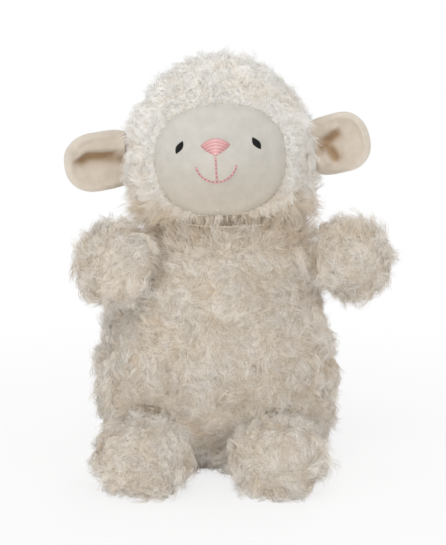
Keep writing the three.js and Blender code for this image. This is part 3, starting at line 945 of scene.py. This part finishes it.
def make_head():
    for side in ("left", "right"):
        cloth(f"hood_{side}_cloth", "head", f"hood_{side}_panel", "head_backing")
    face = skins["head"].split("face_velour", ["face_panel"])
    heights = to_head(points_of(face))[:, 2]
    # Painted shade: the face's cloth is darker towards its bottom. The crease attribute here follows height, not a
    # crease.
    paint(face, "crease", 1 - smooth(heights, 34, 68))
    finish(shell(face, VELOUR), "head", "velour", "velour", "face_panel")
    fill("head_fill", "head", VELOUR, "head_stuffing", 22)
    for i, side in enumerate(("left", "right")):
        pile(f"hood_{side}", "head", f"hood_{side}_panel", "head_pile", 41 + i)
        coat(f"hood_{side}_edge_pile", "head", f"hood_{side}_panel", "head_pile", FACE_EDGE, 46 + i)


def make_limb(limb, seed):
    for i, part in enumerate(("front", "back") if limb.startswith("arm") else ("lower", "upper")):
        node = f"{limb}_{part}_panel"
        cloth(f"{limb}_{part}_cloth", limb, node, "backing")
        pile(f"{limb}_{part}", limb, node, "pile", seed + i)
    fill(f"{limb}_fill", limb, CLOTH, f"{limb}_stuffing", seed + 5)


# Threads

THREAD_ASIDE = np.array([0.13, -0.9, 0.41])  # a direction that no stitch runs along
THREAD_SIDES = 6
THREAD_TIP = 0.6  # how far a thread's pointed end stands out, as a share of its radius


def threads(name, paths, radii, tones=None):
    """Closed round threads with tapered ends. paths is threads x points x 3, radii is threads x points."""
    count, steps = paths.shape[:2]
    sides = THREAD_SIDES
    ahead = unit(np.gradient(paths, axis=1))
    aside = unit(np.cross(ahead, THREAD_ASIDE))
    rings = paths[:, :, None] + spokes(ahead, aside, sides) * radii[:, :, None, None]
    first_tip = paths[:, 0] - ahead[:, 0] * radii[:, :1] * THREAD_TIP
    last_tip = paths[:, -1] + ahead[:, -1] * radii[:, -1:] * THREAD_TIP
    vertices = np.concatenate([rings.reshape(count, -1, 3), np.stack([first_tip, last_tip], 1)], 1)
    per, last = steps * sides + 2, (steps - 1) * sides
    k = np.arange(sides)
    n = (k + 1) % sides
    first_end = np.stack([n, k, np.full(sides, per - 2)], 1)
    last_end = np.stack([last + k, last + n, np.full(sides, per - 1)], 1)
    piece = many_alike(name, vertices, [ring_walls(steps, sides), np.concatenate([first_end, last_end])])
    share = np.concatenate([np.repeat(np.linspace(0, 1, steps), sides), [0, 1]])
    paint(piece, "along", np.tile(share, count))
    paint(piece, "tone", np.repeat(np.ones(count) if tones is None else tones, per))
    return piece


def on_face(x, height):
    """The place on the face that the front view shows at x and height of the head's frame, and its normal."""
    x, height = np.broadcast_arrays(np.asarray(x, float), np.asarray(height, float))
    spots = np.stack([x.ravel(), np.full(x.size, -200.0), height.ravel()], 1)
    starts, ray = from_head(spots), Vector(HEAD_AXES[:, 1])
    places, normals = np.empty_like(starts), np.empty_like(starts)
    for i, start in enumerate(starts):
        hit, normal, _, _ = skin_trees["head"].ray_cast(Vector(start), ray)
        places[i], normals[i] = hit, normal
    normals *= -np.sign(normals @ HEAD_AXES[:, 1])[:, None]
    return places.reshape(*x.shape, 3), unit(normals).reshape(*x.shape, 3)


# Embroidery, in the head's frame

EYE = {
    "side": 1.4, "spread": 17.9, "height": 63.2, "half_width": 1.45, "half_height": 3.2,
    "lean": 31, "slant": 0.35,
}
NOSE = {"side": 0.5, "height": 63.6, "half_width": 6.8, "rise": 2.7, "drop": 4.1}
EYE_THREADS = 15
NOSE_THREADS = 11
BACK_STITCH = 1.9
PHILTRUM = {"top": 58.6, "bottom": 47.6}
SMILE = {"half_width": 9.3, "ends": 54.2, "bottom": 46.9}


def satin(name, ends, height, radius, arch, look, slot, node):
    """Satin stitches, each laid from end to end over a low mound. ends is threads x 2 x (x, height)."""
    t = np.linspace(0, 1, 13)
    bow = np.sin(np.pi * t)
    plan = ends[:, :1] * (1 - t)[None, :, None] + ends[:, 1:] * t[None, :, None]
    plan[..., 1] += arch[:, None] * bow
    places, normals = on_face(plan[..., 0], plan[..., 1])
    span = np.linalg.norm(ends[:, 1] - ends[:, 0], axis=1)
    lift = height * np.minimum(1, span / span.max() + 0.25)[:, None] * bow ** 0.55 - 0.15
    paths = places + normals * lift[..., None]
    radii = radius * (0.55 + 0.45 * bow ** 0.4)[None].repeat(len(ends), 0)
    # Every other stitch is darker: painted shade on every other stitch, so the stitches stand apart.
    tones = (np.arange(len(ends)) % 2) * 0.8 + 0.2
    return finish(threads(name, paths, radii, tones), "head", look, slot, node)


def make_eye(name, side):
    lean = math.radians(EYE["lean"]) * side
    rows = np.linspace(-1, 1, EYE_THREADS) * 0.96
    half = EYE["half_width"] * (1 - np.abs(rows) ** 1.7) + 0.12
    height = EYE["half_height"] * rows
    slant = side * EYE["slant"] * half
    ends = np.stack([np.stack([-half, height + slant], 1), np.stack([half, height - slant], 1)], 1)
    ends = ends @ turned("z", lean)[:2, :2].T + [EYE["side"] + side * EYE["spread"], EYE["height"]]
    flat = np.zeros(EYE_THREADS)
    satin(f"{name}_satin", ends, 0.5, 0.28, flat, "black", "black_thread", f"{name}_stitching")


def make_nose():
    """Curved stitches that follow the top edge, and get shorter towards the point at the bottom."""
    rows = np.linspace(0, 1, NOSE_THREADS)
    half = NOSE["half_width"] * (1 - rows**1.6 * 0.86)
    low = NOSE["height"] - rows * NOSE["drop"]
    arch = (NOSE["rise"] * (1 - rows)) * 0.98
    ends = np.stack([np.stack([-half, low], 1), np.stack([half, low], 1)], 1) + [NOSE["side"], 0]
    satin("nose_satin", ends, 0.8, 0.42, arch, "pink", "pink_thread", "nose_stitching")


def back_stitches(name, plan, node):
    """A line of back stitches along a list of places: each stitch a short thread that dips into the cloth."""
    lengths = np.concatenate([[0], np.cumsum(np.linalg.norm(np.diff(plan, axis=0), axis=1))])
    count = max(2, round(lengths[-1] / BACK_STITCH))
    t = np.linspace(0, 1, 9)
    spans = (np.arange(count)[:, None] + 0.08 + 0.84 * t[None]) / count * lengths[-1]
    x = np.interp(spans, lengths, plan[:, 0])
    height = np.interp(spans, lengths, plan[:, 1])
    places, normals = on_face(x, height)
    paths = places + normals * (0.34 * np.sin(np.pi * t) ** 0.5 - 0.06)[None, :, None]
    radii = (0.24 + 0.2 * np.sin(np.pi * t) ** 0.5)[None].repeat(count, 0)
    return finish(threads(name, paths, radii), "head", "mouth", "pink_thread", node)


def make_mouth():
    heights = np.linspace(PHILTRUM["top"], PHILTRUM["bottom"], 9)
    back_stitches("philtrum_stitches", np.stack([np.full(9, NOSE["side"]), heights], 1), "philtrum_stitching")
    turns = np.linspace(-1, 1, 33)
    x = NOSE["side"] + SMILE["half_width"] * np.sin(turns * math.pi / 2 * 0.92) / math.sin(math.pi / 2 * 0.92)
    heights = SMILE["ends"] - (SMILE["ends"] - SMILE["bottom"]) * np.cos(turns * math.pi / 2)
    back_stitches("smile_stitches", np.stack([x, heights], 1), "smile_stitching")


# Ears: two layers of cloth, cupped, and creased where they are gathered at the root

EAR = {"height": 56.5, "root": 5.0, "half_width": 14.2, "widest": 12.0, "cup": 4.5, "curl": 2.5, "thick": 4.6}
EAR_SIDE = 48.2  # from the head's middle plane to the seam that an ear turns on
EARS = {
    "ear_left": {
        "side": 1, "length": 25.0, "rise": 13, "forward": 14, "fold": 3.6,
        "creases": [((-1, 1.5), (6, 4.0), (13, 6.8)), ((-1, 1.5), (4, -2.5), (7, -10))],
    },
    "ear_right": {
        "side": -1, "length": 27.2, "rise": -3, "forward": 14, "fold": 5.2,
        "creases": [((-2, 2.0), (9, 3.2), (16, 3.8), (24, -0.5))],
    },
}


def ear_axes(ear):
    """The ear's own axes, as columns, in the head's frame: up across it, to the back, and out along it."""
    rise, forward = math.radians(ear["rise"]), math.radians(ear["forward"]) * -ear["side"]
    along = [ear["side"] * math.cos(rise), 0, math.sin(rise)]
    upward = [-ear["side"] * math.sin(rise), 0, math.cos(rise)]
    return turned("z", forward) @ np.array([upward, [0, 1, 0], along]).T


def near_line(points, line):
    """How far plan points lie from a line of places, how far along it, and on which side."""
    best = np.full(len(points), np.inf)
    way, side = np.zeros(len(points)), np.zeros(len(points))
    line = np.array(line, float)
    for i in range(len(line) - 1):
        a, b = line[i], line[i + 1]
        t = np.clip((points - a) @ (b - a) / ((b - a) @ (b - a)), 0, 1)
        gap = points - (a + t[:, None] * (b - a))
        distance = np.linalg.norm(gap, axis=1)
        closer = distance < best
        best = np.where(closer, distance, best)
        way = np.where(closer, (i + t) / (len(line) - 1), way)
        side = np.where(closer, np.sign((b - a)[0] * gap[:, 1] - (b - a)[1] * gap[:, 0]), side)
    return best, way, side


def ear_middle(ear, upward, along):
    """How far back the ear's middle surface lies, and how deep in a crease each place is."""
    reach = np.clip(along / ear["length"], 0, 1)
    cup = EAR["cup"] * (upward / EAR["half_width"]) ** 2 * smooth(along, 0, EAR["widest"])
    back = -cup - EAR["curl"] * reach**2
    depth = np.zeros(len(along))
    for crease in ear["creases"]:
        distance, way, side = near_line(np.stack([along, upward], 1), crease)
        outer = 1 if crease[-1][1] > crease[0][1] - 5 else -1
        fade = (1 - smooth(way, 0.75, 1.0)) * np.where(way > 0, 1, np.exp(-distance / 3))
        lobe = smooth(distance, -0.3, 2.4) * np.exp(-((distance / 12) ** 2)) * (side * outer > 0)
        hollow = np.exp(-((distance / 2.2) ** 2))
        back = back - ear["fold"] * lobe * fade + 1.1 * hollow * fade
        depth = np.maximum(depth, fade * np.exp(-((distance / np.where(side * outer > 0, 1.2, 3.2)) ** 2)))
    return back, depth


def ear_layer(name, ear, facing):
    """One layer as a closed solid: facing is -1 for the front and 1 for the back."""
    turns, rings = ((96, 30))
    angles = np.linspace(0, 2 * math.pi, turns, endpoint=False)
    share = np.sin(np.linspace(0, math.pi / 2, rings + 1))[1:]
    tip = np.sin(angles) > 0
    half_length = np.where(tip, ear["length"] - EAR["widest"], EAR["widest"] + EAR["root"])
    power = np.where(tip, 0.84, 0.28)
    rim_up = EAR["half_width"] * np.sign(np.cos(angles)) * np.abs(np.cos(angles)) ** power
    rim_along = EAR["widest"] + half_length * np.sign(np.sin(angles)) * np.abs(np.sin(angles)) ** power
    middle = np.array([0.0, EAR["widest"]])
    rim = np.stack([rim_up, rim_along], 1)
    plan = np.concatenate([[middle], (middle + share[:, None, None] * (rim - middle)).reshape(-1, 2)])
    radius = np.concatenate([[0], np.repeat(share, turns)])
    back, depth = ear_middle(ear, plan[:, 0], plan[:, 1])
    narrow = 1 - 0.04 * smooth(-plan[:, 1], -6, 3)
    roll = 0.75 + 0.5 * np.exp(-(((radius - 0.84) / 0.11) ** 2))
    thick = EAR["thick"] / 2 * np.sqrt(np.clip(1 - radius**6, 0, 1)) * (1 - 0.3 * depth) * roll
    wobble = Waves(8, 91 + facing).at(np.stack([plan[:, 0], plan[:, 1], back], 1))[:, 0] * 0.12
    outer = back + facing * (thick + 0.12) + wobble * (1 - radius**4)
    inner = back + facing * 0.12
    layers = [np.stack([plan[:, 0] * narrow, depths, plan[:, 1]], 1) for depths in (outer, inner)]
    root = np.array([ear["side"] * EAR_SIDE, 0, EAR["height"]])
    points = from_head(np.concatenate(layers) @ ear_axes(ear).T + root)
    i = np.arange(turns)
    j = (i + 1) % turns
    quads = ring_walls(rings, turns, first=1)
    fan = np.stack([1 + j, np.zeros_like(i), 1 + i], 1)
    size, edge = len(plan), 1 + (rings - 1) * turns
    wall = np.stack([edge + i, edge + j, size + edge + j, size + edge + i], 1)
    four_sided = np.concatenate([quads, (quads + size)[:, ::-1], wall])
    groups = [four_sided, np.concatenate([fan, (fan + size)[:, ::-1]])]
    piece = mesh_object(name, points, groups)
    outward = bmesh.new()
    outward.from_mesh(piece.data)
    bmesh.ops.recalc_face_normals(outward, faces=outward.faces)
    outward.to_mesh(piece.data)
    outward.free()
    # Painted shade on the front layer: darker inside its rim, where the ear cups, and darker still along its
    # creases.
    hollow = np.clip(1 - radius**6, 0, 1) * 0.25 if facing < 0 else np.zeros(size)
    painted_ear_shade = np.clip(hollow + depth * (facing < 0), 0, 1)
    paint(piece, "crease", np.concatenate([painted_ear_shade, painted_ear_shade]))
    return piece


def make_ear(body):
    ear = EARS[body]
    for part, facing in (("front", -1), ("back", 1)):
        piece = ear_layer(f"{body}_{part}_velour", ear, facing)
        finish(piece, body, "ear", "velour", f"{body}_{part}_panel")


# The weight in the seat, and the thread that gathers the neck

BEAD = 2.3  # a pellet's radius
BEAD_SPACING = 4.7
NUDGE = 0.05
NECK_TURNS = 60
NECK_POINTS = 241
PLY_APART = 0.26  # from the middle of the thread to the middle of a ply
PLY_RADIUS = 0.3
THREAD_SUNK = 0.7  # how far the pull of the thread has drawn it into its groove


def make_pouch():
    """A thin cloth bag, creased where the pellets press on it."""
    source = frame["nodes"]["bean_pouch"]
    piece = source.copy()
    piece.data = source.data.copy()
    piece.name = "pellet_bag"
    bpy.context.scene.collection.objects.link(piece)
    remesh = piece.modifiers.new("even", "REMESH")
    remesh.mode = "VOXEL"
    remesh.voxel_size = 0.4 * MM
    even = piece.modifiers.new("smooth", "SMOOTH")
    even.iterations = 6
    piece = baked_modifiers(piece)
    points = points_of(piece)
    lumps = Waves(5.5, 95).at(points)[:, :1] * 0.22 + Waves(13, 96).at(points)[:, :1] * 0.3
    normals = normals_of(piece)
    move_points(piece, points + normals * lumps * np.sign(dot(normals, points - points.mean(0))))
    finish(piece, "torso", "pouch", "pouch_cloth", "bean_pouch")


def bead_mesh(name, spots):
    sphere = bmesh.new()
    bmesh.ops.create_icosphere(sphere, subdivisions=2, radius=BEAD)
    corners = np.array([v.co[:] for v in sphere.verts])
    faces = np.array([[v.index for v in f.verts] for f in sphere.faces])
    sphere.free()
    return many_alike(name, spots[:, None] + corners, [faces])


def make_pellets():
    """Round pellets packed in the bag, on a close lattice that each one has been nudged off."""
    tree, _ = tree_of(["bean_pellets"])
    low, high = (np.array(corner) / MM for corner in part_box("bean_pellets"))
    random = np.random.default_rng(97)
    step = BEAD_SPACING
    layers = []
    for k, z in enumerate(np.arange(low[2], high[2], step * math.sqrt(2 / 3))):
        for j, y in enumerate(np.arange(low[1], high[1], step * math.sqrt(3) / 2)):
            x = np.arange(low[0], high[0], step) + (j % 2 + k % 2) * step / 2
            layers.append(np.stack([x, np.full_like(x, y + (k % 2) * step / 3), np.full_like(x, z)], 1))
    spots = np.concatenate(layers)
    spots += random.normal(0, NUDGE, spots.shape)
    kept = []
    for spot in spots:
        hit, normal, _, distance = tree.find_nearest(Vector(spot))
        inside = (Vector(spot) - hit).dot(normal) < 0
        kept.append(inside and distance > BEAD)
    finish(bead_mesh("pellets", spots[np.array(kept)]), "torso", "pellets", "pellets", "bean_pellets")


def make_neck_thread():
    """A strong two-ply thread, twisted, in a ring under the pile."""
    points = node_points("neck_thread")
    middle = points.mean(0)
    centred = points - middle
    reaches = np.linalg.norm(centred[:, :2], axis=1)
    radius = (reaches.max() + reaches.min()) / 2
    turns = np.linspace(0, 2 * math.pi, NECK_POINTS)
    out = np.stack([np.cos(turns), np.sin(turns), 0 * turns], 1)
    tilt = np.linalg.lstsq(centred[:, :2], centred[:, 2], rcond=None)[0]
    paths = []
    for ply in (0, math.pi):
        spin = turns * NECK_TURNS + ply
        path = out * (radius - THREAD_SUNK + PLY_APART * np.cos(spin))[:, None]
        path[:, 2] = path[:, :2] @ tilt + PLY_APART * np.sin(spin)
        paths.append(path + middle)
    piece = threads("gathering_thread", np.array(paths), np.full((2, NECK_POINTS), PLY_RADIUS))
    finish(piece, "neck", "cream", "sewing_thread", "neck_thread")


make_torso()
make_head()
make_eye("eye_left", 1)
make_eye("eye_right", -1)
make_nose()
make_mouth()
make_ear("ear_left")
make_ear("ear_right")
make_pouch()
make_pellets()
make_neck_thread()
for i, limb in enumerate(LIMBS):
    make_limb(limb, 51 + 10 * i)


# Light, floor and camera

WORLD_LIGHT = 0.46
LAMPS = [  # name, place in metres, size in metres, power in watts
    ("key", (-0.82, -0.66, 0.1), 0.35, 1.75),
    ("fill", (0.55, -0.88, 0.14), 0.35, 1.7),
    ("top", (-0.15, -0.6, 0.85), 0.5, 3.0),
    ("front", (-0.25, -1.0, 0.25), 0.35, 0.8),
    ("back", (0.2, 0.9, 0.6), 0.35, 2.7),
]
FLOOR_FADE = {"From_Min": 0.06, "From_Max": 0.32, "To_Min": 0.78, "To_Max": 1.0}


def seen_directly(tree):
    """1 where the camera sees a background, straight or in something shiny or clear."""
    path = add_node(tree, "LightPath").outputs
    total = path["Is Camera Ray"]
    for name in ("Is Glossy Ray", "Is Transmission Ray"):
        either = add_node(tree, "Math", total, path[name])
        either.operation = "MAXIMUM"
        total = either.outputs[0]
    return total


def make_world():
    world = bpy.data.worlds.new("studio")
    bpy.context.scene.world = world
    world.use_nodes = True
    tree = world.node_tree
    strength = add_node(tree, "MapRange", seen_directly(tree), To_Min=WORLD_LIGHT, To_Max=1.0)
    sky = tree.nodes["Background"]
    feed(tree, sky.inputs["Strength"], strength.outputs["Result"])
    feed(tree, sky.inputs["Color"], (1, 1, 1, 1))


def make_lamps():
    for name, place, size, power in LAMPS:
        lamp = bpy.data.lights.new(name, "AREA")
        lamp.size = size
        lamp.energy = power
        stand = new_object(name, lamp)
        stand.location = place
        aim = Vector((0, 0, 0.1)) - stand.location
        stand.rotation_euler = aim.to_track_quat("-Z", "Y").to_euler()


def make_floor():
    """A pale floor that fades to white away from the toy."""
    bpy.ops.mesh.primitive_plane_add(size=6, location=(0, 0, 0))
    floor = bpy.context.object
    floor.name = "floor"
    made, tree, shader = material("floor", 0.9, Base_Color=(0.92, 0.92, 0.92, 1))
    glow = add_node(tree, "Emission", Strength=1.0)
    distance = add_node(tree, "VectorMath", add_node(tree, "TexCoord").outputs["Object"])
    distance.operation = "LENGTH"
    fade = add_node(tree, "MapRange", distance.outputs["Value"], **FLOOR_FADE)
    share = add_node(tree, "Math", seen_directly(tree), fade.outputs["Result"])
    share.operation = "MULTIPLY"
    mix = add_node(tree, "MixShader", share.outputs[0], shader.outputs[0], glow.outputs[0])
    feed(tree, tree.nodes["Material Output"].inputs["Surface"], mix.outputs[0])
    floor.data.materials.append(made)


def make_camera():
    """A long lens, a little above the toy, that sees it as the photograph does."""
    distance, height, side = 1300.0, 93.6, 3.1
    elevation = math.radians(12)
    view_height = 261.6
    camera = new_object("camera", bpy.data.cameras.new("camera"))
    target = Vector((side, 0, height)) * MM
    camera.location = target + Vector((0, -math.cos(elevation), math.sin(elevation))) * distance * MM
    camera.rotation_euler = (target - camera.location).to_track_quat("-Z", "Y").to_euler()
    camera.data.sensor_fit = "VERTICAL"
    camera.data.angle = 2 * math.atan(view_height / 2 / distance)
    bpy.context.scene.camera = camera


make_world()
make_lamps()
make_floor()
make_camera()
bpy.context.scene.view_settings.view_transform = "Standard"
